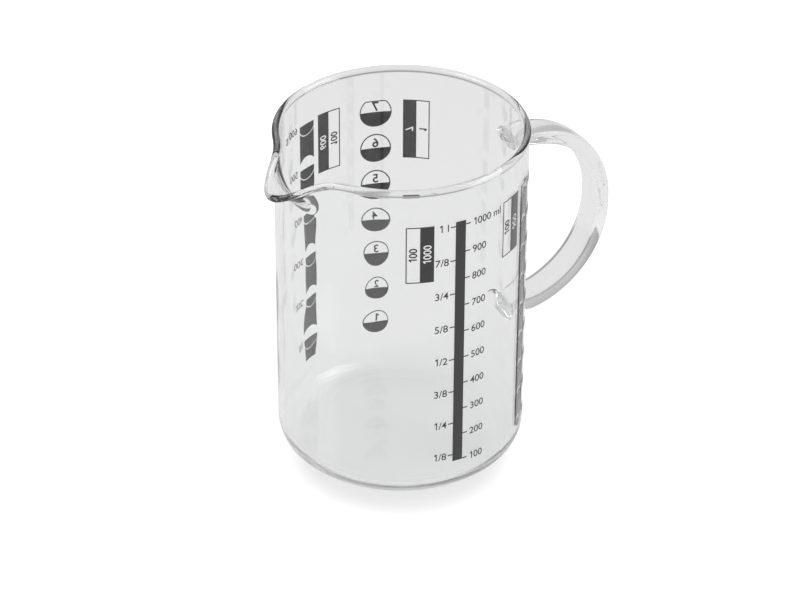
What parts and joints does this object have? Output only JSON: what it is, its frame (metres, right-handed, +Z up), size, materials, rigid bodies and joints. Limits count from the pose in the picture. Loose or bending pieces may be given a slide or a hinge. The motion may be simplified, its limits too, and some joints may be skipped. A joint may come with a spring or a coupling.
{
  "type": "glass measuring jug",
  "caption": "Clear glass measuring jug with a pulled pouring spout, a fused bow handle and fired scales for litres, cups, flour and sugar.",
  "frame": {"origin": "middle of the flat base, on the axis of the round body", "axes": "+Z up along the body's axis, +X from the axis towards the handle; the spout points close to -X"},
  "size_m": [0.1649, 0.1052, 0.1497],
  "materials": {
    "clear_glass": "clear, fire polished",
    "fired_print": "dark grey fired enamel, satin"
  },
  "bodies": {
    "root": {"glass_body": "clear_glass", "handle": "clear_glass", "litre_bar": "fired_print", "millilitre_marks": "fired_print", "fraction_marks": "fired_print", "litre_panel": "fired_print", "sugar_bar": "fired_print", "sugar_panel": "fired_print", "flour_bar": "fired_print", "flour_panel": "fired_print", "cup_marks": "fired_print", "cup_panel": "fired_print"}
  },
  "joints": []
}
